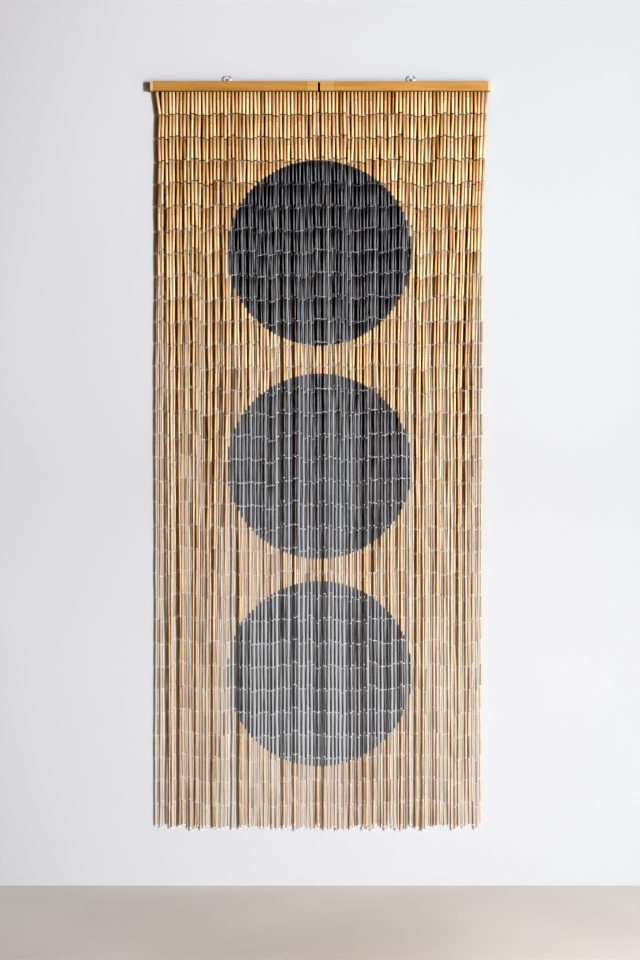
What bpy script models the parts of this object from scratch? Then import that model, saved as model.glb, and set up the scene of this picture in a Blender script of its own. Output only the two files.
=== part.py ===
# Bead curtain: 89 strands of slim cane beads under a wooden rail with a fold at its middle.
# Metres, +Z up. X runs along the rail and the curtain's front faces -Y.
# The origin is the middle of the rail's top face, between the two screw eyes that it hangs from.

import math
import random
from collections import namedtuple

import bmesh
import bpy
from mathutils import Vector

# Wooden rail
RAIL_LENGTH = 0.900
RAIL_HEIGHT = 0.025
RAIL_DEPTH = 0.020
EDGE_ROUND = 0.0012
EDGE_SEGMENTS = 2
FIT_GAP = 0.0004

# Fold at the rail's middle: places along X
FOLD_LEFT = -0.0064
FOLD_RIGHT = -0.0013
LEFT_SEAM = -0.0368
RIGHT_SEAM = 0.0381

# Strap that joins the two halves behind the fold
STRAP_LENGTH = 0.050
STRAP_HEIGHT = 0.0240
STRAP_THICKNESS = 0.0012
STRAP_INSET = 0.0002

# Screw eyes
EYE_SPREAD = 0.486
EYE_OUTER = 0.0150
EYE_WIRE = 0.0022
EYE_STAND = 0.0010
SHANK_DIAMETER = 0.0028
SHANK_DEPTH = 0.0140
RING_STEPS = 24
WIRE_SIDES = 8
SHANK_SIDES = 10

# Backing strip that the strands' roots are fused into
STRIP_DEPTH = 0.0030
STRIP_HEIGHT = 0.0035
STRIP_MARGIN = 0.0030
ROOT_WIDTH = 0.0018
ROOT_EDGE = 0.0003
NECK_DROP = 0.0007

# Strands: where the outer and inner strand of each half belongs along X
LEFT_STRANDS = 44
RIGHT_STRANDS = 45
LEFT_FIRST = -0.4283
LEFT_LAST = -0.0075
RIGHT_FIRST = 0.0037
RIGHT_LAST = 0.4389

# Beads on a strand, top to bottom
ROWS = 32
TOP_DROP = 0.0014
BEAD_PITCH = 0.0608
BEAD_TOP_DIAMETER = 0.0084
BEAD_FOOT_DIAMETER = 0.0036
TAPER_POWER = 1.5
SQUARE_SIDE = 0.95

# How a strand wanders as it hangs
SEED = 5200
WANDER_STEP = 0.00055
ZIGZAG_TOP = 0.0012
ZIGZAG_FOOT = 0.0004
LAST_BEAD_LEAN = 0.0012
DEPTH_SPREAD = 0.0005
STRAND_CLEARANCE = 0.0005

# How uneven the bead lengths are. Strands strung in one batch share half of it.
# The last beads are cut so that the feet are nearly level.
BATCH = 3
UNEVEN_FIRST = 0.0034
UNEVEN_STEP = 0.0028
UNEVEN_KEEP = 0.96
UNEVEN_MOST = 0.0130
UNEVEN_FOOT = 0.0085

# Rows whose joints the solid strands bend at
RING_ROWS = (1, 2, 4, 7, 11, 16, 21, 26, 31, 32)

# Sideways drift of single strands at the rail, at their first joint, half-way down and low down.
# The strands between two listed ones share their drift.
MIDDLE_ROW = 12
LOW_ROW = 26
Drift = namedtuple("Drift", "strand top first middle low")
DRIFTS = (
    Drift(strand=0, top=-0.0052, first=0.0019, middle=-0.0020, low=-0.0012),
    Drift(strand=1, top=0.0, first=0.0, middle=0.0013, low=0.0032),
    Drift(strand=2, top=0.0, first=0.0, middle=0.0021, low=0.0066),
    Drift(strand=6, top=0.0, first=0.0, middle=0.0034, low=0.0056),
    Drift(strand=18, top=0.0, first=0.0, middle=0.0040, low=-0.0061),
    Drift(strand=19, top=0.0, first=0.0, middle=0.0048, low=0.0),
    Drift(strand=20, top=0.0, first=0.0, middle=0.0061, low=0.0053),
    Drift(strand=21, top=0.0, first=0.0, middle=0.0066, low=0.0116),
    Drift(strand=22, top=0.0, first=0.0, middle=0.0069, low=0.0050),
    Drift(strand=32, top=0.0, first=0.0, middle=0.0058, low=0.0053),
    Drift(strand=33, top=0.0, first=0.0, middle=0.0093, low=0.0093),
    Drift(strand=34, top=0.0, first=0.0, middle=0.0066, low=0.0066),
    Drift(strand=35, top=0.0, first=0.0, middle=0.0061, low=0.0061),
    Drift(strand=36, top=0.0, first=0.0, middle=0.0095, low=0.0080),
    Drift(strand=37, top=0.0, first=0.0, middle=0.0066, low=0.0066),
    Drift(strand=43, top=0.0, first=0.0, middle=0.0087, low=0.0077),
    Drift(strand=44, top=0.0, first=0.0, middle=0.0048, low=0.0045),
    Drift(strand=45, top=0.0, first=0.0, middle=0.0021, low=0.0021),
    Drift(strand=46, top=0.0, first=0.0, middle=0.0037, low=0.0040),
    Drift(strand=48, top=0.0, first=0.0, middle=0.0056, low=0.0050),
    Drift(strand=49, top=0.0, first=0.0, middle=0.0071, low=0.0076),
    Drift(strand=67, top=0.0, first=0.0, middle=-0.0077, low=-0.0077),
    Drift(strand=82, top=0.0, first=0.0, middle=-0.0151, low=-0.0141),
    Drift(strand=83, top=0.0, first=0.0, middle=-0.0183, low=-0.0160),
    Drift(strand=84, top=0.0, first=0.0, middle=-0.0164, low=-0.0155),
    Drift(strand=85, top=0.0, first=0.0, middle=-0.0185, low=-0.0165),
    Drift(strand=86, top=0.0, first=-0.0048, middle=-0.0167, low=-0.0159),
    Drift(strand=87, top=0.0, first=-0.0074, middle=-0.0183, low=-0.0180),
    Drift(strand=88, top=0.0, first=-0.0103, middle=-0.0122, low=-0.0149),
)


# Materials

def finish(name, colour, roughness, metallic=0.0):
    material = bpy.data.materials.new(name)
    material.use_nodes = True
    shader = material.node_tree.nodes["Principled BSDF"]
    shader.inputs["Base Color"].default_value = (*colour, 1.0)
    shader.inputs["Roughness"].default_value = roughness
    shader.inputs["Metallic"].default_value = metallic
    return material


def share(low, high, part):
    return low + (high - low) * part


# The hang of the strands

def bead_diameter(row):
    """Mean diameter of a bead at a joint row, from the top to the foot."""
    return share(BEAD_FOOT_DIAMETER, BEAD_TOP_DIAMETER, (1 - row / ROWS) ** TAPER_POWER)


def home(strand):
    """Where a strand belongs along X."""
    if strand < LEFT_STRANDS:
        return share(LEFT_FIRST, LEFT_LAST, strand / (LEFT_STRANDS - 1))
    return share(RIGHT_FIRST, RIGHT_LAST, (strand - LEFT_STRANDS) / (RIGHT_STRANDS - 1))


def drift(strand, row):
    """Sideways drift of a strand at a row, shared between the listed strands and rows."""
    after = next(k for k, listed in enumerate(DRIFTS) if listed.strand >= max(strand, 1))
    one, two = DRIFTS[after - 1], DRIFTS[after]
    part = (strand - one.strand) / (two.strand - one.strand)
    if row <= 1:
        return share(share(one.top, two.top, part), share(one.first, two.first, part), row)
    middle = share(one.middle, two.middle, part)
    if row <= MIDDLE_ROW:
        return share(share(one.first, two.first, part), middle, (row - 1) / (MIDDLE_ROW - 1))
    return share(middle, share(one.low, two.low, part), min(1.0, (row - MIDDLE_ROW) / (LOW_ROW - MIDDLE_ROW)))


def hang(strand):
    """One strand's joints, as points from its first bead's top to its foot."""
    chance = random.Random(SEED + strand)
    batch = random.Random(SEED - 1 - strand // BATCH)
    top = -RAIL_HEIGHT - TOP_DROP
    joints = [Vector((home(strand) + drift(strand, 0), 0.0, top))]
    walk = uneven = 0.0
    for row in range(1, ROWS + 1):
        walk += chance.uniform(-WANDER_STEP, WANDER_STEP)
        zigzag = LAST_BEAD_LEAN if row == ROWS else share(ZIGZAG_TOP, ZIGZAG_FOOT, row / ROWS)
        sideways = home(strand) + drift(strand, row) + walk + chance.uniform(-zigzag, zigzag)
        depth = chance.uniform(-DEPTH_SPREAD, DEPTH_SPREAD)
        step = UNEVEN_FIRST if row == 1 else UNEVEN_STEP
        uneven = uneven * UNEVEN_KEEP + chance.uniform(-step, step) + batch.uniform(-step, step)
        uneven = min(UNEVEN_MOST, max(-UNEVEN_MOST, uneven))
        joints.append(Vector((sideways, depth, top - row * BEAD_PITCH + uneven)))
    joints[-1].z = top - ROWS * BEAD_PITCH + chance.uniform(-UNEVEN_FOOT, UNEVEN_FOOT)
    return joints


def hang_all():
    """Every strand's joints. Strands that would touch their neighbours are moved clear of them."""
    strands = [hang(strand) for strand in range(LEFT_STRANDS + RIGHT_STRANDS)]
    for row in range(ROWS + 1):
        apart = bead_diameter(row) + STRAND_CLEARANCE
        for before, after in zip(strands, strands[1:]):
            after[row].x = max(after[row].x, before[row].x + apart)
    return strands


# Small building steps

def new_part(name, shape, material, place=(0.0, 0.0, 0.0)):
    """Make a finished bmesh a named part that hangs from the curtain's empty."""
    mesh = bpy.data.meshes.new(name)
    shape.to_mesh(mesh)
    shape.free()
    mesh.materials.append(material)
    part = bpy.data.objects.new(name, mesh)
    part.location = place
    part.parent = bpy.data.objects["curtain"]
    bpy.context.collection.objects.link(part)
    return part


def new_tool(name, shape, place=(0.0, 0.0, 0.0)):
    """Make a bmesh a hidden shape that a Boolean modifier works with."""
    tool = new_part(name, shape, bpy.data.materials["tool"], place)
    tool.hide_render = True
    tool.display_type = "WIRE"
    return tool


def block(low, high):
    """A box between two corners."""
    shape = bmesh.new()
    bmesh.ops.create_cube(shape, size=1.0)
    low, high = Vector(low), Vector(high)
    bmesh.ops.scale(shape, vec=high - low, verts=shape.verts)
    bmesh.ops.translate(shape, vec=(low + high) / 2, verts=shape.verts)
    return shape


def rod(diameter, low, high, sides):
    """An upright cylinder around X = Y = 0."""
    shape = bmesh.new()
    bmesh.ops.create_cone(shape, cap_ends=True, segments=sides, radius1=diameter / 2, radius2=diameter / 2,
                          depth=high - low)
    bmesh.ops.translate(shape, vec=(0.0, 0.0, (low + high) / 2), verts=shape.verts)
    return shape


def work(part, operation, tool):
    modifier = part.modifiers.new(tool.name, "BOOLEAN")
    modifier.operation = operation
    modifier.object = tool
    modifier.solver = "EXACT"


def round_off(part):
    part.data.shade_smooth()
    part.data.set_sharp_from_angle(angle=math.radians(40))


# Rail

def rail_length(name, left, right, material):
    """A length of the rail with its four long edges rounded."""
    half_depth = RAIL_DEPTH / 2
    shape = block((left, -half_depth, -RAIL_HEIGHT), (right, half_depth, 0.0))
    long_edges = [edge for edge in shape.edges if abs(edge.verts[0].co.x - edge.verts[1].co.x) > RAIL_DEPTH]
    bmesh.ops.bevel(shape, geom=long_edges, offset=EDGE_ROUND, segments=EDGE_SEGMENTS, profile=0.5,
                    affect="EDGES", material=-1)
    part = new_part(name, shape, material)
    round_off(part)
    return part


def strip_ends(joints, low, high):
    """Where a half's strip begins and ends, inside the stretch of rail that it is let into."""
    first, last = joints[0][0].x, joints[-1][0].x
    return max(first - STRIP_MARGIN, low + FIT_GAP), min(last + STRIP_MARGIN, high - FIT_GAP)


def groove(name, start, end):
    """The groove in the rail's underside that takes a strip."""
    half_depth = STRIP_DEPTH / 2 + FIT_GAP
    top = -RAIL_HEIGHT + STRIP_HEIGHT + FIT_GAP
    return new_tool(name, block((start, -half_depth, -2 * RAIL_HEIGHT), (end, half_depth, top)))


def build_rail(left_strip, right_strip):
    wood = finish("pine", (0.58, 0.33, 0.13), 0.55)
    half = RAIL_LENGTH / 2
    seam = FIT_GAP / 2
    rail_left = rail_length("rail_left", -half, LEFT_SEAM - seam, wood)
    block_left = rail_length("fold_block_left", LEFT_SEAM + seam, FOLD_LEFT, wood)
    block_right = rail_length("fold_block_right", FOLD_RIGHT, RIGHT_SEAM - seam, wood)
    rail_right = rail_length("rail_right", RIGHT_SEAM + seam, half, wood)

    left_groove = groove("left_groove", left_strip[0] - FIT_GAP, FOLD_LEFT + RAIL_DEPTH)
    right_groove = groove("right_groove", FOLD_RIGHT - RAIL_DEPTH, right_strip[1] + FIT_GAP)
    rebate = strap_rebate()
    for part, tools in (
        (rail_left, (left_groove, eye_hole("left_hole", -EYE_SPREAD / 2))),
        (block_left, (left_groove, rebate)),
        (block_right, (right_groove, rebate)),
        (rail_right, (right_groove, eye_hole("right_hole", EYE_SPREAD / 2))),
    ):
        for tool in tools:
            work(part, "DIFFERENCE", tool)


# Strap across the back of the fold

def strap_faces():
    """The strap's front and back along Y."""
    back = RAIL_DEPTH / 2 - STRAP_INSET
    return back - STRAP_THICKNESS, back


def fold_middle():
    return (FOLD_LEFT + FOLD_RIGHT) / 2


def strap_rebate():
    """The step cut across the back of both blocks, which the strap lies in."""
    half_length = STRAP_LENGTH / 2 + FIT_GAP
    front = strap_faces()[0] - FIT_GAP
    return new_tool("strap_rebate", block((fold_middle() - half_length, front, -2 * RAIL_HEIGHT),
                                          (fold_middle() + half_length, RAIL_DEPTH, RAIL_HEIGHT)))


def build_strap():
    dark_steel = finish("dark_steel", (0.03, 0.03, 0.032), 0.45, 0.8)
    front, back = strap_faces()
    middle = -RAIL_HEIGHT / 2
    shape = block((fold_middle() - STRAP_LENGTH / 2, front, middle - STRAP_HEIGHT / 2),
                  (fold_middle() + STRAP_LENGTH / 2, back, middle + STRAP_HEIGHT / 2))
    new_part("fold_strap", shape, dark_steel)


# Screw eyes

def eye_hole(name, x):
    """The blind hole that a shank goes into."""
    return new_tool(name, rod(SHANK_DIAMETER + 2 * FIT_GAP, -SHANK_DEPTH - FIT_GAP, RAIL_HEIGHT, SHANK_SIDES),
                    (x, 0.0, 0.0))


def build_eye(name, x, steel):
    """A wire ring on a shank. The ring stands just clear of the rail's top."""
    middle = EYE_STAND + EYE_OUTER / 2
    bend = (EYE_OUTER - EYE_WIRE) / 2
    ring = bmesh.new()
    wire = bmesh.ops.create_circle(ring, cap_ends=False, segments=WIRE_SIDES, radius=EYE_WIRE / 2)["verts"]
    bmesh.ops.translate(ring, vec=(bend, 0.0, 0.0), verts=wire)
    bmesh.ops.spin(ring, geom=ring.verts[:] + ring.edges[:], cent=(0.0, 0.0, 0.0), axis=(0.0, 1.0, 0.0),
                   dvec=(0.0, 0.0, 0.0), angle=math.tau, steps=RING_STEPS, use_merge=True)
    bmesh.ops.recalc_face_normals(ring, faces=ring.faces)
    bmesh.ops.translate(ring, vec=(0.0, 0.0, middle), verts=ring.verts)
    eye = new_part(name, ring, steel, (x, 0.0, 0.0))
    shank = new_tool(name + "_shank", rod(SHANK_DIAMETER, -SHANK_DEPTH, EYE_STAND + EYE_WIRE / 2, SHANK_SIDES),
                     (x, 0.0, 0.0))
    work(eye, "UNION", shank)
    round_off(eye)


# Strands

def narrow_strip(start, end, roots):
    """The strip below the rail, cut into lengths so that each root has its own face underneath."""
    shape = bmesh.new()
    end_face = [shape.verts.new((start, y, z)) for y, z in (
        (-STRIP_DEPTH / 2, 0.0), (-STRIP_DEPTH / 2, STRIP_HEIGHT),
        (STRIP_DEPTH / 2, STRIP_HEIGHT), (STRIP_DEPTH / 2, 0.0))]
    face = shape.faces.new(end_face)
    cuts = [place + half for place in roots for half in (-ROOT_WIDTH / 2, ROOT_WIDTH / 2)] + [end]
    x = start
    for cut in cuts:
        grown = bmesh.ops.extrude_face_region(shape, geom=[face])["geom"]
        if x > start:
            bmesh.ops.delete(shape, geom=[face], context="FACES_ONLY")
        face = next(item for item in grown if isinstance(item, bmesh.types.BMFace))
        bmesh.ops.translate(shape, vec=(cut - x, 0.0, 0.0), verts=face.verts)
        x = cut
    bmesh.ops.recalc_face_normals(shape, faces=shape.faces)
    return shape


def next_ring(shape, face, centre, half_width, half_depth):
    """Draw a strand's end face down to its next ring."""
    old = face.calc_center_median()
    face = bmesh.ops.extrude_discrete_faces(shape, faces=[face])["faces"][0]
    for corner in face.verts:
        corner.co = Vector((centre.x + math.copysign(half_width, corner.co.x - old.x),
                            centre.y + math.copysign(half_depth, corner.co.y - old.y), centre.z))
    return face


def build_strands(name, joints, ends, cane):
    """One half's strands, with their roots fused into the strip at z = 0, the rail's underside."""
    start, end = ends
    reach = ROOT_WIDTH / 2 + ROOT_EDGE
    roots = [min(max(strand[0].x, start + reach), end - reach) for strand in joints]
    shape = narrow_strip(start, end, roots)
    underside = Vector((0.0, 0.0, RAIL_HEIGHT))
    downward = [face for face in shape.faces if face.normal.z < -0.9]
    root_faces = [min(downward, key=lambda face: abs(face.calc_center_median().x - root)) for root in roots]
    for root, face, strand in zip(roots, root_faces, joints):
        neck = Vector((root, 0.0, -NECK_DROP))
        face = next_ring(shape, face, neck, ROOT_WIDTH / 2, ROOT_WIDTH / 2)
        for row in (0, *RING_ROWS):
            half = bead_diameter(row) * SQUARE_SIDE / 2
            face = next_ring(shape, face, strand[row] + underside, half, half)
    new_part(name, shape, cane, (0.0, 0.0, -RAIL_HEIGHT))


def build_curtain():
    for item in list(bpy.data.objects):
        bpy.data.objects.remove(item, do_unlink=True)
    curtain = bpy.data.objects.new("curtain", None)
    bpy.context.collection.objects.link(curtain)
    finish("tool", (0.8, 0.1, 0.1), 0.5)

    joints = hang_all()
    left_joints, right_joints = joints[:LEFT_STRANDS], joints[LEFT_STRANDS:]
    left_strip = strip_ends(left_joints, -RAIL_LENGTH / 2, FOLD_LEFT)
    right_strip = strip_ends(right_joints, FOLD_RIGHT, RAIL_LENGTH / 2)
    build_rail(left_strip, right_strip)
    build_strap()
    steel = finish("grey_steel", (0.42, 0.42, 0.44), 0.35, 1.0)
    build_eye("eye_left", -EYE_SPREAD / 2, steel)
    build_eye("eye_right", EYE_SPREAD / 2, steel)

    cane = finish("cane", (0.62, 0.42, 0.20), 0.5)
    build_strands("strands_left", left_joints, left_strip, cane)
    build_strands("strands_right", right_joints, right_strip, cane)


build_curtain()
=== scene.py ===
import math
import random
from collections import namedtuple

import bmesh
import bpy
from mathutils import Matrix, Vector


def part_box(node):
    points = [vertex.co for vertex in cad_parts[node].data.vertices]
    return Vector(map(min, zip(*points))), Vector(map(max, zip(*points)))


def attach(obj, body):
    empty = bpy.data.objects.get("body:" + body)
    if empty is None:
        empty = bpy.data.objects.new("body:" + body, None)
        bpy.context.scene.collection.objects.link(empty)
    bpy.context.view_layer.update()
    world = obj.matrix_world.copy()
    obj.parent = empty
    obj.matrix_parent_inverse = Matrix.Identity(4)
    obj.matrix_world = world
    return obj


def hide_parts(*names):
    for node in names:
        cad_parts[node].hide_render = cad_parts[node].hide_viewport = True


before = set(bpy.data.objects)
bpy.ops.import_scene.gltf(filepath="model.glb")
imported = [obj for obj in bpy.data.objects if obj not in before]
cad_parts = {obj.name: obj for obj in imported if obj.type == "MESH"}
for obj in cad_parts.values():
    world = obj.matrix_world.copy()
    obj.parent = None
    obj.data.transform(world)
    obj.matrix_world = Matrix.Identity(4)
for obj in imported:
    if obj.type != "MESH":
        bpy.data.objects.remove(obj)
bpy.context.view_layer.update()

# The looks of a bead curtain under a wooden rail. Sizes are in metres.
# X runs along the rail, the front faces -Y, and z = 0 is the rail's top.

# Rail and its parts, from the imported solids
RAIL_LEFT_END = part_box("rail_left")[0].x
RAIL_RIGHT_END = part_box("rail_right")[1].x
RAIL_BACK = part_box("rail_left")[1].y
RAIL_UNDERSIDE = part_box("rail_left")[0].z
FOLD_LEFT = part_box("fold_block_left")[1].x
FOLD_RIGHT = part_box("fold_block_right")[0].x

# Backing strips let into the rail's underside
FIT_GAP = 0.0004
STRIP_DEPTH = 0.0030
STRIP_HEIGHT = 0.0035
STRIP_MARGIN = 0.0030
STRIP_BEVEL = 0.0003
ROOT_REACH = 0.0012

# Strands: where the outer and inner strand of each half belongs along X
LEFT_STRANDS = 44
RIGHT_STRANDS = 45
LEFT_FIRST = -0.4283
LEFT_LAST = -0.0075
RIGHT_FIRST = 0.0037
RIGHT_LAST = 0.4389

# Beads on a strand, top to bottom
ROWS = 32
TOP_DROP = 0.0014
BEAD_PITCH = 0.0608
BEAD_TOP_DIAMETER = 0.0084
BEAD_FOOT_DIAMETER = 0.0036
TAPER_POWER = 1.5

# How a strand wanders as it hangs
SEED = 5200
WANDER_STEP = 0.00055
ZIGZAG_TOP = 0.0012
ZIGZAG_FOOT = 0.0004
LAST_BEAD_LEAN = 0.0012
DEPTH_SPREAD = 0.0005
STRAND_CLEARANCE = 0.0005

# How uneven the bead lengths are. Strands strung in one batch share half of it.
# The last beads are cut so that the feet are nearly level.
BATCH = 3
UNEVEN_FIRST = 0.0034
UNEVEN_STEP = 0.0028
UNEVEN_KEEP = 0.96
UNEVEN_MOST = 0.0130
UNEVEN_FOOT = 0.0085

# Sideways drift of single strands at the rail, at their first joint, half-way down and low down.
# The strands between two listed ones share their drift.
MIDDLE_ROW = 12
LOW_ROW = 26
Drift = namedtuple("Drift", "strand top first middle low")
DRIFTS = (
    Drift(strand=0, top=-0.0052, first=0.0019, middle=-0.0020, low=-0.0012),
    Drift(strand=1, top=0.0, first=0.0, middle=0.0013, low=0.0032),
    Drift(strand=2, top=0.0, first=0.0, middle=0.0021, low=0.0066),
    Drift(strand=6, top=0.0, first=0.0, middle=0.0034, low=0.0056),
    Drift(strand=18, top=0.0, first=0.0, middle=0.0040, low=-0.0061),
    Drift(strand=19, top=0.0, first=0.0, middle=0.0048, low=0.0),
    Drift(strand=20, top=0.0, first=0.0, middle=0.0061, low=0.0053),
    Drift(strand=21, top=0.0, first=0.0, middle=0.0066, low=0.0116),
    Drift(strand=22, top=0.0, first=0.0, middle=0.0069, low=0.0050),
    Drift(strand=32, top=0.0, first=0.0, middle=0.0058, low=0.0053),
    Drift(strand=33, top=0.0, first=0.0, middle=0.0093, low=0.0093),
    Drift(strand=34, top=0.0, first=0.0, middle=0.0066, low=0.0066),
    Drift(strand=35, top=0.0, first=0.0, middle=0.0061, low=0.0061),
    Drift(strand=36, top=0.0, first=0.0, middle=0.0095, low=0.0080),
    Drift(strand=37, top=0.0, first=0.0, middle=0.0066, low=0.0066),
    Drift(strand=43, top=0.0, first=0.0, middle=0.0087, low=0.0077),
    Drift(strand=44, top=0.0, first=0.0, middle=0.0048, low=0.0045),
    Drift(strand=45, top=0.0, first=0.0, middle=0.0021, low=0.0021),
    Drift(strand=46, top=0.0, first=0.0, middle=0.0037, low=0.0040),
    Drift(strand=48, top=0.0, first=0.0, middle=0.0056, low=0.0050),
    Drift(strand=49, top=0.0, first=0.0, middle=0.0071, low=0.0076),
    Drift(strand=67, top=0.0, first=0.0, middle=-0.0077, low=-0.0077),
    Drift(strand=82, top=0.0, first=0.0, middle=-0.0151, low=-0.0141),
    Drift(strand=83, top=0.0, first=0.0, middle=-0.0183, low=-0.0160),
    Drift(strand=84, top=0.0, first=0.0, middle=-0.0164, low=-0.0155),
    Drift(strand=85, top=0.0, first=0.0, middle=-0.0185, low=-0.0165),
    Drift(strand=86, top=0.0, first=-0.0048, middle=-0.0167, low=-0.0159),
    Drift(strand=87, top=0.0, first=-0.0074, middle=-0.0183, low=-0.0180),
    Drift(strand=88, top=0.0, first=-0.0103, middle=-0.0122, low=-0.0149),
)

# Gap between two beads at the rail and from the given row down
TOP_GAP = 0.0024
JOINT_GAP = 0.0028
GAP_ROW = 9

# Bead shape, in shares of a bead's outer radius and of its length
BEAD_SIDES = 10
BORE = 0.50
RIM = 0.86
RIM_DROP = 0.010
KNUCKLE_SHARE = 0.17
KNUCKLE_RISE = 1.10
KNUCKLE_PLACES = (0.24, 0.37)
KNUCKLE_WIDTH = 0.022
BEAD_SPREAD = 0.06
STRAND_SPREAD = 0.03
OVAL_SPREAD = 0.03
SLIP = 0.0003
SHADE_SPREAD = 0.20
STRAND_SHADES = (0.30, 0.70)
BEAD_MARKS = ("shade", "tint", "across", "ridge")

# String and its knot, whose rings are given as (share of its height, half width)
STRING_RADIUS = 0.0006
KNOT_RADIUS = 0.0012
KNOT_HEIGHT = 0.0022
KNOT_RINGS = ((0.0, STRING_RADIUS), (0.25, KNOT_RADIUS), (0.75, KNOT_RADIUS), (1.0, STRING_RADIUS))
MERGE_DISTANCE = 0.00001

# Painted shade on the string: how far down it turns from dark brown near the rail, where the bead joints
# lie in shade, to its own pale colour, and over what length
STRING_SHADE_DEPTH = 0.33
STRING_SHADE_FADE = 0.25

# Painted discs: centres and radius on the hanging curtain, and their soft edge in square metres
DISC_X = -0.0030
DISC_HEIGHTS = (-0.453, -1.017, -1.566)
DISC_RADIUS = 0.2450
DISC_EDGE = 0.0004

# Bare wood at the rail's two ends, and its soft edge
BARE_END = 0.0072
BARE_EDGE = 0.0008

# Screws that hold the strap, two on each side of the fold
SCREW_RADIUS = 0.0026
SCREW_PROUD = 0.0004
SCREW_TOP_SHARE = 0.86
SCREW_PLACES = (0.010, 0.020)

# Room: wall behind, floor below
WALL_GAP = 0.0018
WALL_HALF_WIDTH = 1.8
WALL_TOP = 1.2
FLOOR_DROP = 2.131
FLOOR_HALF = 6.0

# Painted shade on the wall: its colour darkens to the right, nearer the key light, and is darkest at this
# depth below the rail, which evens out the key light's falloff
WALL_FADE = 0.5
WALL_MIDDLE = 1.05
WALL_RISE = 0.20

# Camera
CAMERA_X = -0.0013
CAMERA_DISTANCE = 3.53
CAMERA_HEIGHT = -1.0535
CAMERA_LENS = 50.0

# Display: its gamma, and the level below which it shows black
GAMMA = 0.8
BLACK_LEVEL = 0.058


def share(low, high, part):
    return low + (high - low) * part


# The hang of the strands

def bead_diameter(row):
    """Mean diameter of a bead at a joint row, from the top to the foot."""
    return share(BEAD_FOOT_DIAMETER, BEAD_TOP_DIAMETER, (1 - row / ROWS) ** TAPER_POWER)


def home(strand):
    """Where a strand belongs along X."""
    if strand < LEFT_STRANDS:
        return share(LEFT_FIRST, LEFT_LAST, strand / (LEFT_STRANDS - 1))
    return share(RIGHT_FIRST, RIGHT_LAST, (strand - LEFT_STRANDS) / (RIGHT_STRANDS - 1))


def drift(strand, row):
    """Sideways drift of a strand at a row, shared between the listed strands and rows."""
    after = next(k for k, listed in enumerate(DRIFTS) if listed.strand >= max(strand, 1))
    one, two = DRIFTS[after - 1], DRIFTS[after]
    part = (strand - one.strand) / (two.strand - one.strand)
    if row <= 1:
        return share(share(one.top, two.top, part), share(one.first, two.first, part), row)
    middle = share(one.middle, two.middle, part)
    if row <= MIDDLE_ROW:
        return share(share(one.first, two.first, part), middle, (row - 1) / (MIDDLE_ROW - 1))
    low = share(one.low, two.low, part)
    return share(middle, low, min(1.0, (row - MIDDLE_ROW) / (LOW_ROW - MIDDLE_ROW)))


def hang(strand):
    """One strand's joints, as points from its first bead's top to its foot."""
    chance = random.Random(SEED + strand)
    batch = random.Random(SEED - 1 - strand // BATCH)
    top = RAIL_UNDERSIDE - TOP_DROP
    joints = [Vector((home(strand) + drift(strand, 0), 0.0, top))]
    walk = uneven = 0.0
    for row in range(1, ROWS + 1):
        walk += chance.uniform(-WANDER_STEP, WANDER_STEP)
        zigzag = LAST_BEAD_LEAN if row == ROWS else share(ZIGZAG_TOP, ZIGZAG_FOOT, row / ROWS)
        sideways = home(strand) + drift(strand, row) + walk + chance.uniform(-zigzag, zigzag)
        depth = chance.uniform(-DEPTH_SPREAD, DEPTH_SPREAD)
        step = UNEVEN_FIRST if row == 1 else UNEVEN_STEP
        uneven = uneven * UNEVEN_KEEP + chance.uniform(-step, step) + batch.uniform(-step, step)
        uneven = min(UNEVEN_MOST, max(-UNEVEN_MOST, uneven))
        joints.append(Vector((sideways, depth, top - row * BEAD_PITCH + uneven)))
    joints[-1].z = top - ROWS * BEAD_PITCH + chance.uniform(-UNEVEN_FOOT, UNEVEN_FOOT)
    return joints


def hang_all():
    """Every strand's joints. Strands that would touch their neighbours are moved clear of them."""
    strands = [hang(strand) for strand in range(LEFT_STRANDS + RIGHT_STRANDS)]
    for row in range(ROWS + 1):
        apart = bead_diameter(row) + STRAND_CLEARANCE
        for before, after in zip(strands, strands[1:]):
            after[row].x = max(after[row].x, before[row].x + apart)
    return strands


# Material building

class Signal:
    """A number that changes over a surface. Sums on it add Math nodes."""

    def __init__(self, finish, socket):
        self.finish = finish
        self.socket = socket

    def math(self, operation, *values):
        node = self.finish.node("ShaderNodeMath", {"operation": operation}, dict(enumerate(values)))
        return Signal(self.finish, node.outputs[0])

    def __add__(self, other):
        return self.math("ADD", self, other)

    def __sub__(self, other):
        return self.math("SUBTRACT", self, other)

    def __rsub__(self, other):
        return self.math("SUBTRACT", other, self)

    def __mul__(self, other):
        return self.math("MULTIPLY", self, other)

    def __abs__(self):
        return self.math("ABSOLUTE", self)

    def above(self, level, width):
        """0 below the level and 1 above it, with a soft edge of that width."""
        sockets = {"Value": self, "From Min": level - width / 2, "From Max": level + width / 2}
        edge = self.finish.node("ShaderNodeMapRange", {"interpolation_type": "SMOOTHSTEP"}, sockets)
        return Signal(self.finish, edge.outputs["Result"])

    __radd__ = __add__
    __rmul__ = __mul__


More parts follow.
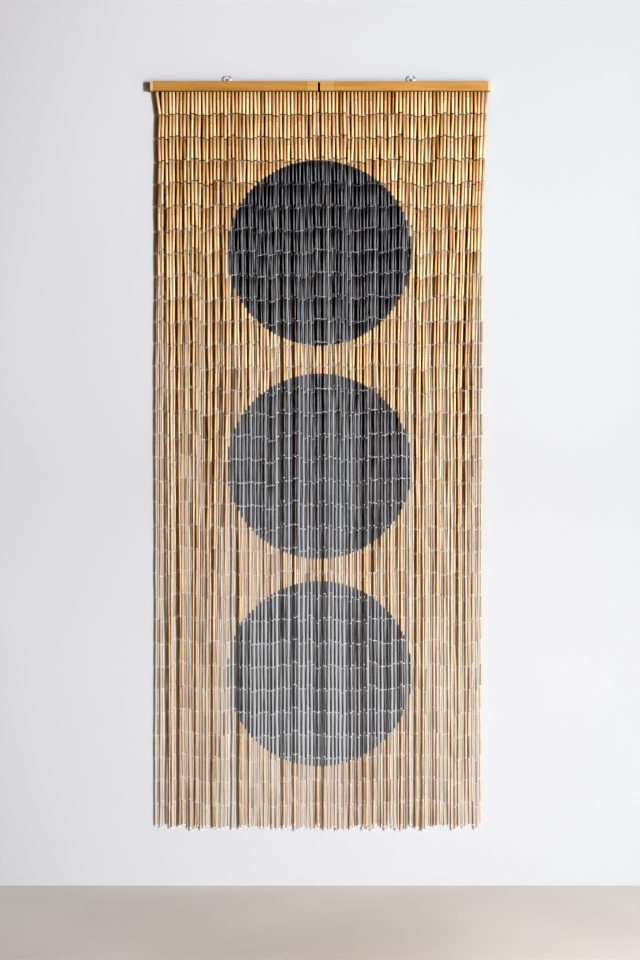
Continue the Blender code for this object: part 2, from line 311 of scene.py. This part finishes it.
class Finish:
    """A material while its nodes are added."""

    def __init__(self, name):
        self.material = bpy.data.materials.new(name)
        self.material.use_nodes = True
        self.tree = self.material.node_tree
        self.shader = self.tree.nodes["Principled BSDF"]

    def put(self, socket, value):
        if isinstance(value, Signal):
            self.tree.links.new(value.socket, socket)
        elif isinstance(value, bpy.types.NodeSocket):
            self.tree.links.new(value, socket)
        else:
            socket.default_value = value

    def node(self, kind, settings, sockets):
        """Add a node: its settings first, a ramp's stops among them, then its sockets."""
        node = self.tree.nodes.new(kind)
        for name, value in settings.items():
            if name != "stops":
                setattr(node, name, value)
        for place, (where, colour) in enumerate(settings.get("stops", ())):
            stops = node.color_ramp.elements
            stop = stops[place] if place < 2 else stops.new(where)
            stop.position = where
            stop.color = (*colour, 1.0)
        for socket, value in sockets.items():
            self.put(node.inputs[socket], value)
        return node

    def place(self):
        return self.node("ShaderNodeTexCoord", {}, {}).outputs["Object"]

    def along(self, axis):
        """The surface point's X, Y or Z in the curtain's frame."""
        split = self.node("ShaderNodeSeparateXYZ", {}, {"Vector": self.place()})
        return Signal(self, split.outputs[axis])

    def attribute(self, name):
        return Signal(self, self.node("ShaderNodeAttribute", {"attribute_name": name}, {}).outputs["Fac"])

    def noise(self, stretch, detail=2.0, roughness=0.5, shift=None):
        """Noise on the surface's own coordinates, with features of 1 / stretch metres along each axis."""
        place = self.place()
        if shift is not None:
            offset = self.node("ShaderNodeCombineXYZ", {}, {"X": shift, "Y": shift})
            place = self.node("ShaderNodeVectorMath", {"operation": "ADD"},
                              {0: place, 1: offset.outputs[0]}).outputs[0]
        mapped = self.node("ShaderNodeMapping", {}, {"Vector": place, "Scale": stretch})
        noise = self.node("ShaderNodeTexNoise", {}, {"Vector": mapped.outputs[0], "Scale": 1.0,
                                                     "Detail": detail, "Roughness": roughness})
        return Signal(self, noise.outputs["Fac"])

    def ramp(self, value, *stops):
        return self.node("ShaderNodeValToRGB", {"stops": stops}, {"Fac": value}).outputs["Color"]

    def mix(self, part, one, other, way="MIX"):
        node = self.node("ShaderNodeMix", {"data_type": "RGBA", "blend_type": way},
                         {0: part, 6: one, 7: other})
        return node.outputs[2]

    def bump(self, height, distance, strength=1.0):
        sockets = {"Height": height, "Distance": distance, "Strength": strength}
        node = self.node("ShaderNodeBump", {}, sockets)
        self.put(self.shader.inputs["Normal"], node.outputs[0])

    def set(self, **sockets):
        for name, value in sockets.items():
            self.put(self.shader.inputs[name.replace("_", " ")], value)
        return self.material


# Finishes of the curtain

STRAW_SHADES = ((0.0, (0.23, 0.115, 0.040)), (0.25, (0.38, 0.225, 0.095)), (0.55, (0.51, 0.35, 0.190)),
                (1.0, (0.56, 0.43, 0.28)))
GREENISH = (0.44, 0.34, 0.17, 1.0)
ROSY = (0.52, 0.325, 0.225, 1.0)
KNOT_BROWN = (0.10, 0.045, 0.017, 1.0)
STREAK_SHADES = ((0.25, (0.58, 0.52, 0.44)), (0.55, (1.0, 1.0, 1.0)), (0.85, (1.12, 1.12, 1.10)))
CHARCOAL = (0.040, 0.040, 0.042, 1.0)
WORN_CHARCOAL = (0.105, 0.104, 0.104, 1.0)


def bamboo_finish():
    """Straw-coloured bamboo, each bead its own shade, with charcoal paint inside the three discs."""
    bamboo = Finish("bamboo")
    shade = bamboo.attribute("shade")
    tint = bamboo.attribute("tint")
    natural = bamboo.ramp(shade, *STRAW_SHADES)
    natural = bamboo.mix(tint.above(0.80, 0.10) * 0.5, natural, GREENISH)
    natural = bamboo.mix((1.0 - tint).above(0.80, 0.10) * 0.5, natural, ROSY)
    streaks = bamboo.noise((700, 700, 14), detail=3.0, shift=shade)
    natural = bamboo.mix(0.75, natural, bamboo.ramp(streaks, *STREAK_SHADES), "MULTIPLY")
    natural = bamboo.mix(bamboo.attribute("ridge") * 0.8, natural, KNOT_BROWN)

    across = bamboo.attribute("across")
    painted = None
    height = bamboo.along("Z")
    for disc in DISC_HEIGHTS:
        down = height - disc
        inside = (DISC_RADIUS ** 2 - across * across - down * down).above(0.0, DISC_EDGE)
        painted = inside if painted is None else painted + inside
    coat = bamboo.mix(streaks.above(0.60, 0.30) * 0.5, CHARCOAL, WORN_CHARCOAL)
    bamboo.bump(streaks, 0.00012, 0.3)
    return bamboo.set(Base_Color=bamboo.mix(painted, natural, coat), Roughness=0.46 + streaks * 0.10,
                      Coat_Weight=0.25 + painted * 0.35, Coat_Roughness=0.5)


def string_finish():
    """Twisted cotton string in its own pale colour, with painted shade that turns it dark brown near the
    rail.
    """
    string = Finish("string")
    twist = string.noise((1500, 1500, 1500), detail=1.0)
    string.bump(twist, 0.0001)
    # Painted shade: dark brown string near the rail, where the joints between the beads lie in shade.
    painted_shade = string.ramp(twist, (0.3, (0.10, 0.065, 0.035)), (0.7, (0.20, 0.14, 0.085)))
    own_colour = string.ramp(twist, (0.3, (0.66, 0.62, 0.56)), (0.7, (0.84, 0.82, 0.78)))
    down = (0.0 - string.along("Z")).above(STRING_SHADE_DEPTH, STRING_SHADE_FADE)
    return string.set(Base_Color=string.mix(down, painted_shade, own_colour), Roughness=0.85)


def rail_finish(name, dark, light, bare_ends=None):
    """Satin wood with fine grain along the rail."""
    wood = Finish(name)
    figure = wood.noise((5, 70, 95), detail=4.0, roughness=0.6)
    pores = wood.noise((45, 900, 900), detail=2.0)
    colour = wood.ramp(figure * 0.75 + pores * 0.25, (0.36, dark), (0.62, light))
    if bare_ends:
        end = abs(wood.along("X")).above(RAIL_RIGHT_END - BARE_END, BARE_EDGE)
        colour = wood.mix(end, colour, (*bare_ends, 1.0))
    wood.bump(pores, 0.00015, 0.5)
    return wood.set(Base_Color=colour, Roughness=0.42 + pores * 0.15)


def metal_finish(name, dark, light, roughness, metallic):
    """Metal with faint rubbed patches."""
    metal = Finish(name)
    rubbed = metal.noise((260, 260, 260), detail=3.0)
    return metal.set(Base_Color=metal.ramp(rubbed, (0.3, dark), (0.7, light)),
                     Roughness=roughness + rubbed * 0.2, Metallic=metallic)


# Pieces

def as_mesh(name, shape):
    mesh = bpy.data.meshes.new(name)
    shape.to_mesh(mesh)
    shape.free()
    return mesh


def new_piece(name, shape, material, replaced=(), crease=55):
    """Make a finished bmesh a piece that rides on the curtain's body."""
    mesh = as_mesh(name, shape)
    mesh.shade_smooth()
    mesh.set_sharp_from_angle(angle=math.radians(crease))
    mesh.materials.append(material)
    piece = bpy.data.objects.new(name, mesh)
    bpy.context.collection.objects.link(piece)
    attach(piece, "root")
    if replaced:
        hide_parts(*replaced)
    return piece


def bead_profile(knuckle):
    """Half of a bead's cut face, as (radius, drop) shares, round its wall and back to the bore."""
    ridge = []
    if knuckle:
        ridge = [(1.0, knuckle - KNUCKLE_WIDTH), (KNUCKLE_RISE, knuckle), (1.0, knuckle + KNUCKLE_WIDTH)]
    return [(BORE, 0.0), (RIM, 0.0), (1.0, RIM_DROP), *ridge, (1.0, 1 - RIM_DROP), (RIM, 1.0), (BORE, 1.0)]


def bead_mesh(knuckle=None):
    """A hollow bead of unit radius that hangs from z = 0 to z = -1."""
    shape = bmesh.new()
    corners = [shape.verts.new((radius, 0.0, -drop)) for radius, drop in bead_profile(knuckle)]
    for one, other in zip(corners, corners[1:] + corners[:1]):
        shape.edges.new((one, other))
    bmesh.ops.spin(shape, geom=shape.verts[:] + shape.edges[:], cent=(0.0, 0.0, 0.0), axis=(0.0, 0.0, 1.0),
                   dvec=(0.0, 0.0, 0.0), angle=math.tau, steps=BEAD_SIDES, use_merge=True)
    bmesh.ops.recalc_face_normals(shape, faces=shape.faces)
    return as_mesh("bead", shape)


def strand_across(strand):
    """How far a strand hangs to the side of the discs' centre, at the height of each disc."""
    spots = []
    for disc in DISC_HEIGHTS:
        joint = min(strand, key=lambda point: abs(point.z - disc))
        spots.append(joint.x - DISC_X)
    return spots


def hang_bead(shape, kind, top, foot, radius, oval, turn):
    """Add a copy of a bead that reaches from one point to the other."""
    start = len(shape.verts)
    shape.from_mesh(kind)
    shape.verts.ensure_lookup_table()
    run = foot - top
    lean = Vector((0.0, 0.0, -1.0)).rotation_difference(run).to_matrix().to_4x4()
    size = Matrix.Diagonal((radius * oval, radius / oval, run.length, 1.0))
    place = Matrix.Translation(top) @ lean @ Matrix.Rotation(turn, 4, "Z") @ size
    bmesh.ops.transform(shape, matrix=place, verts=shape.verts[start:])


def thread_strand(number, strand, kinds):
    """One strand's beads as a mesh, with each corner's marks."""
    chance = random.Random(SEED + LEFT_STRANDS + RIGHT_STRANDS + number)
    strand_size = 1 + chance.uniform(-STRAND_SPREAD, STRAND_SPREAD)
    strand_shade = chance.uniform(*STRAND_SHADES)
    spots = strand_across(strand)
    shape = bmesh.new()
    marks = []
    for row in range(ROWS):
        top, foot = strand[row].copy(), strand[row + 1].copy()
        run = (foot - top).normalized()
        half_gap = run * share(TOP_GAP, JOINT_GAP, min(1.0, row / GAP_ROW)) / 2
        top += half_gap if row else Vector()
        foot -= half_gap
        top.x += chance.uniform(-SLIP, SLIP)
        foot.x += chance.uniform(-SLIP, SLIP)
        mean_radius = bead_diameter(row + 0.5) / 2 * strand_size
        radius = mean_radius * (1 + chance.uniform(-BEAD_SPREAD, BEAD_SPREAD))
        oval = 1 + chance.uniform(-OVAL_SPREAD, OVAL_SPREAD)
        turn = chance.uniform(0, math.tau)
        kind = chance.choice(kinds[1:]) if chance.random() < KNUCKLE_SHARE else kinds[0]
        hang_bead(shape, kind, top, foot, radius, oval, turn)
        middle = (top.z + foot.z) / 2
        disc = min(range(len(DISC_HEIGHTS)), key=lambda k: abs(DISC_HEIGHTS[k] - middle))
        shade = min(1.0, max(0.0, strand_shade + chance.gauss(0.0, SHADE_SPREAD)))
        tint = chance.random()
        for vert in kind.vertices:
            ridge = 1.0 if vert.co.xy.length > (1 + KNUCKLE_RISE) / 2 else 0.0
            marks.append((shade, tint, spots[disc], ridge))
    return as_mesh("strand", shape), marks


def thread_beads(name, strands, first_strand, node, material):
    """Thread one half's beads on their strands, joined as one piece."""
    kinds = [bead_mesh(), *(bead_mesh(place) for place in KNUCKLE_PLACES)]
    shape = bmesh.new()
    marks = []
    for number, strand in enumerate(strands, first_strand):
        mesh, strand_marks = thread_strand(number, strand, kinds)
        shape.from_mesh(mesh)
        bpy.data.meshes.remove(mesh)
        marks += strand_marks
    for mesh in kinds:
        bpy.data.meshes.remove(mesh)
    piece = new_piece(name, shape, material, (node,))
    for mark, column in zip(BEAD_MARKS, zip(*marks)):
        layer = piece.data.attributes.new(mark, "FLOAT", "POINT")
        layer.data.foreach_set("value", column)
    return piece


def next_ring(shape, face, centre, half):
    """Draw a string's end face down to its next ring."""
    old = face.calc_center_median()
    face = bmesh.ops.extrude_discrete_faces(shape, faces=[face])["faces"][0]
    for corner in face.verts:
        corner.co = Vector((centre.x + math.copysign(half, corner.co.x - old.x),
                            centre.y + math.copysign(half, corner.co.y - old.y), centre.z))
    return face


def draw_strings(name, strands, ends, material):
    """One half's strings, from the strip down through the beads to a knot under the last one."""
    shape = bmesh.new()
    start, end = ends
    for strand in strands:
        root = min(max(strand[0].x, start + ROOT_REACH), end - ROOT_REACH)
        corners = bmesh.ops.create_grid(shape, x_segments=1, y_segments=1, size=STRING_RADIUS)["verts"]
        face = corners[0].link_faces[0]
        bmesh.ops.reverse_faces(shape, faces=[face])
        bmesh.ops.translate(shape, vec=(root, 0.0, RAIL_UNDERSIDE), verts=corners)
        cap = bmesh.ops.duplicate(shape, geom=[face])["geom"]
        bmesh.ops.reverse_faces(shape, faces=[item for item in cap if isinstance(item, bmesh.types.BMFace)])
        for joint in strand[:-1]:
            face = next_ring(shape, face, joint, STRING_RADIUS)
        foot = strand[-1]
        for down, half in KNOT_RINGS:
            face = next_ring(shape, face, foot - Vector((0.0, 0.0, down * KNOT_HEIGHT)), half)
    bmesh.ops.remove_doubles(shape, verts=shape.verts, dist=MERGE_DISTANCE)
    bmesh.ops.recalc_face_normals(shape, faces=shape.faces)
    return new_piece(name, shape, material)


def cut_strip(name, ends, material):
    """The strip in the rail's groove that the strings come out of."""
    shape = bmesh.new()
    bmesh.ops.create_cube(shape, size=1.0)
    start, end = ends
    bmesh.ops.scale(shape, vec=(end - start, STRIP_DEPTH, STRIP_HEIGHT), verts=shape.verts)
    bmesh.ops.translate(shape, vec=((start + end) / 2, 0.0, RAIL_UNDERSIDE + STRIP_HEIGHT / 2),
                        verts=shape.verts)
    bmesh.ops.bevel(shape, geom=shape.edges, offset=STRIP_BEVEL, segments=1, profile=0.5,
                    affect="EDGES", material=-1)
    return new_piece(name, shape, material, crease=30)


def drive_screws(material):
    """The strap's flat screw heads, joined as one piece."""
    shape = bmesh.new()
    middle_x = (FOLD_LEFT + FOLD_RIGHT) / 2
    middle_z = RAIL_UNDERSIDE / 2
    face_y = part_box("fold_strap")[1].y
    for side in (-1, 1):
        for place in SCREW_PLACES:
            head = bmesh.ops.create_cone(shape, cap_ends=True, segments=16, radius1=SCREW_RADIUS,
                                         radius2=SCREW_RADIUS * SCREW_TOP_SHARE,
                                         depth=SCREW_PROUD)["verts"]
            bmesh.ops.rotate(shape, matrix=Matrix.Rotation(-math.pi / 2, 3, "X"), verts=head)
            bmesh.ops.translate(shape, vec=(middle_x + side * place, face_y + SCREW_PROUD / 2, middle_z),
                                verts=head)
    return new_piece("strap_screws", shape, material, crease=30)


def strip_ends(joints, low, high):
    """Where a half's strip begins and ends, inside the stretch of rail that it is let into."""
    first, last = joints[0][0].x, joints[-1][0].x
    return max(first - STRIP_MARGIN, low + FIT_GAP), min(last + STRIP_MARGIN, high - FIT_GAP)


def dress_curtain():
    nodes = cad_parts
    main_wood = rail_finish("rail wood", (0.30, 0.168, 0.052), (0.385, 0.228, 0.085), (0.46, 0.35, 0.22))
    block_wood = rail_finish("fold block wood", (0.34, 0.20, 0.066), (0.42, 0.27, 0.11))
    steel = metal_finish("grey steel", (0.30, 0.30, 0.31), (0.52, 0.52, 0.54), 0.25, 1.0)
    dark_steel = metal_finish("dark steel", (0.02, 0.02, 0.021), (0.05, 0.05, 0.052), 0.35, 0.7)
    finishes = {"rail_left": main_wood, "rail_right": main_wood, "fold_block_left": block_wood,
                "fold_block_right": block_wood, "fold_strap": dark_steel, "eye_left": steel,
                "eye_right": steel}
    for name, material in finishes.items():
        nodes[name].data.materials.clear()
        nodes[name].data.materials.append(material)

    bamboo = bamboo_finish()
    string = string_finish()
    joints = hang_all()
    left, right = joints[:LEFT_STRANDS], joints[LEFT_STRANDS:]
    left_ends = strip_ends(left, RAIL_LEFT_END, FOLD_LEFT)
    right_ends = strip_ends(right, FOLD_RIGHT, RAIL_RIGHT_END)
    thread_beads("beads_left", left, 0, "strands_left", bamboo)
    thread_beads("beads_right", right, LEFT_STRANDS, "strands_right", bamboo)
    draw_strings("strings_left", left, left_ends, string)
    draw_strings("strings_right", right, right_ends, string)
    cut_strip("strip_left", left_ends, main_wood)
    cut_strip("strip_right", right_ends, main_wood)
    drive_screws(dark_steel)


# Room, light and camera

def stage_sheet(name, size_x, size_y, matrix, material):
    """A flat backdrop sheet, set in place by its mesh."""
    shape = bmesh.new()
    bmesh.ops.create_grid(shape, x_segments=1, y_segments=1, size=1.0)
    bmesh.ops.scale(shape, vec=(size_x, size_y, 1.0), verts=shape.verts)
    bmesh.ops.transform(shape, matrix=matrix, verts=shape.verts)
    mesh = as_mesh(name, shape)
    mesh.materials.append(material)
    sheet = bpy.data.objects.new(name, mesh)
    bpy.context.collection.objects.link(sheet)


def wall_finish():
    """Pale matt paint on the side that faces the room, with painted shade that evens out the key light's
    falloff. The other side is clear.
    """
    wall = Finish("wall paint")
    mottle = wall.noise((3, 3, 3), detail=2.0)
    # Painted shade: darker to the right and at mid-height, where the key light falls strongest.
    falloff_shade = wall.along("X") * WALL_FADE + 0.5 + (mottle - 0.5) * 0.06
    falloff_shade = falloff_shade - abs(wall.along("Z") + WALL_MIDDLE) * WALL_RISE
    paint = wall.ramp(falloff_shade, (0.0, (0.475, 0.478, 0.482)), (1.0, (0.282, 0.283, 0.284)))
    wall.set(Base_Color=paint, Roughness=0.9)
    behind = wall.node("ShaderNodeNewGeometry", {}, {}).outputs["Backfacing"]
    clear = wall.node("ShaderNodeBsdfTransparent", {}, {}).outputs[0]
    both = wall.node("ShaderNodeMixShader", {}, {0: behind, 1: wall.shader.outputs[0], 2: clear}).outputs[0]
    wall.put(wall.tree.nodes["Material Output"].inputs["Surface"], both)
    return wall.material


def floor_finish():
    """Smooth floor with faint clouds in its colour."""
    floor = Finish("floor")
    clouds = floor.noise((1.6, 1.6, 1.6), detail=5.0)
    colour = floor.ramp(clouds, (0.35, (0.585, 0.56, 0.53)), (0.65, (0.645, 0.625, 0.60)))
    return floor.set(Base_Color=colour, Roughness=0.34)


def build_room():
    upright = Matrix.Rotation(math.pi / 2, 4, "X")
    wall_height = WALL_TOP + FLOOR_DROP
    wall_place = Matrix.Translation((0.0, RAIL_BACK + WALL_GAP, WALL_TOP - wall_height / 2))
    floor_place = Matrix.Translation((0.0, 0.0, -FLOOR_DROP))
    stage_sheet("wall", WALL_HALF_WIDTH, wall_height / 2, wall_place @ upright, wall_finish())
    stage_sheet("floor", FLOOR_HALF, FLOOR_HALF, floor_place, floor_finish())


def aim(item, place, target):
    item.location = place
    item.rotation_euler = (Vector(target) - Vector(place)).to_track_quat("-Z", "Y").to_euler()


def area_light(name, place, target, width, height, power, colour):
    light = bpy.data.lights.new(name, "AREA")
    light.shape = "RECTANGLE"
    light.size = width
    light.size_y = height
    light.energy = power
    light.color = colour
    lamp = bpy.data.objects.new(name, light)
    bpy.context.collection.objects.link(lamp)
    aim(lamp, place, target)


def light_room():
    area_light("key", (3.5, -4.0, -0.85), (0.0, 0.0, -0.9), 0.60, 1.3, 545.0, (0.93, 1.0, 1.07))
    area_light("room", (1.0, -1.9, -1.4), (0.4, 0.0, -1.3), 0.8, 1.4, 18.0, (1.0, 0.84, 0.74))
    area_light("ceiling", (0.0, -2.6, 2.4), (0.0, -1.4, -2.1), 3.5, 2.0, 14.0, (1.0, 0.78, 0.64))
    world = bpy.data.worlds.new("studio")
    bpy.context.scene.world = world
    world.use_nodes = True
    sky = world.node_tree.nodes["Background"]
    sky.inputs["Color"].default_value = (1.0, 0.70, 0.52, 1.0)
    sky.inputs["Strength"].default_value = 0.27


def place_camera():
    """A camera at the photograph's viewing angle: level, square to the wall, at mid-curtain height."""
    camera_data = bpy.data.cameras.new("camera")
    camera_data.lens = CAMERA_LENS
    camera_data.sensor_width = 36.0
    camera_data.sensor_fit = "AUTO"
    camera = bpy.data.objects.new("camera", camera_data)
    bpy.context.collection.objects.link(camera)
    aim(camera, (CAMERA_X, -CAMERA_DISTANCE, CAMERA_HEIGHT), (CAMERA_X, 0.0, CAMERA_HEIGHT))
    bpy.context.scene.camera = camera


def set_tones():
    """Plain display colours with deep darks, as in a crisp print."""
    view = bpy.context.scene.view_settings
    view.view_transform = "Standard"
    view.gamma = GAMMA
    view.use_curve_mapping = True
    view.curve_mapping.black_level = (BLACK_LEVEL,) * 3
    view.curve_mapping.update()


dress_curtain()
build_room()
light_room()
place_camera()
set_tones()
